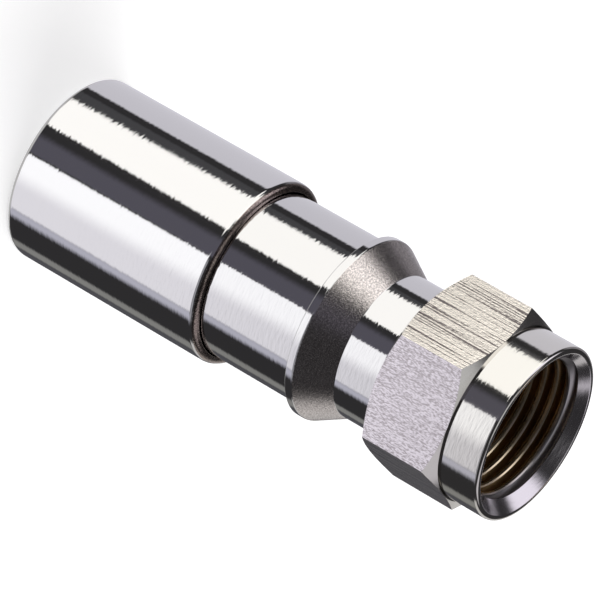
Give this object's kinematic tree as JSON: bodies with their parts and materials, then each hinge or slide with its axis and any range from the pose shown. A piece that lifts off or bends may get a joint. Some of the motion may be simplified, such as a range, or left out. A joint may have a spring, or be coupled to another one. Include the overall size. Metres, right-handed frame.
{
  "type": "f connector",
  "caption": "Compression coaxial F connector: a free-turning threaded hex nut on a turned body with a barbed inner post, and a plain sleeve that slides forward to grip the cable.",
  "frame": {"origin": "on the connector's axis, at the centre of the sleeve's rear end, which it stands on", "axes": "+Z along the connector's axis from the cable end to the nut's mouth; +X through one of the nut's flats"},
  "size_m": [0.0116, 0.0128, 0.0341],
  "materials": {
    "sleeve_nickel": "bright nickel plate over turned brass",
    "body_nickel": "bright nickel plate over turned brass, with a blasted cone",
    "nut_nickel": "nickel plate over brass, brushed flats and a bright collar",
    "post_nickel": "satin nickel plate over turned brass",
    "ferrule_acetal": "natural white acetal",
    "seal_rubber": "black rubber"
  },
  "bodies": {
    "body": {"connector_body": "body_nickel", "inner_post": "post_nickel", "nut_o_ring": "seal_rubber"},
    "nut": {"hex_nut": "nut_nickel"},
    "sleeve": {"compression_sleeve": "sleeve_nickel", "gripping_ferrule": "ferrule_acetal"}
  },
  "joints": [
    {"name": "nut_spin", "type": "hinge", "parent": "body", "child": "nut", "pos_m": [0, 0, 0.0302], "axis": [0, 0, 1], "continuous": true},
    {"name": "sleeve_slide", "type": "slide", "parent": "body", "child": "sleeve", "axis": [0, 0, 1], "range_m": [0, 0.0064]}
  ]
}
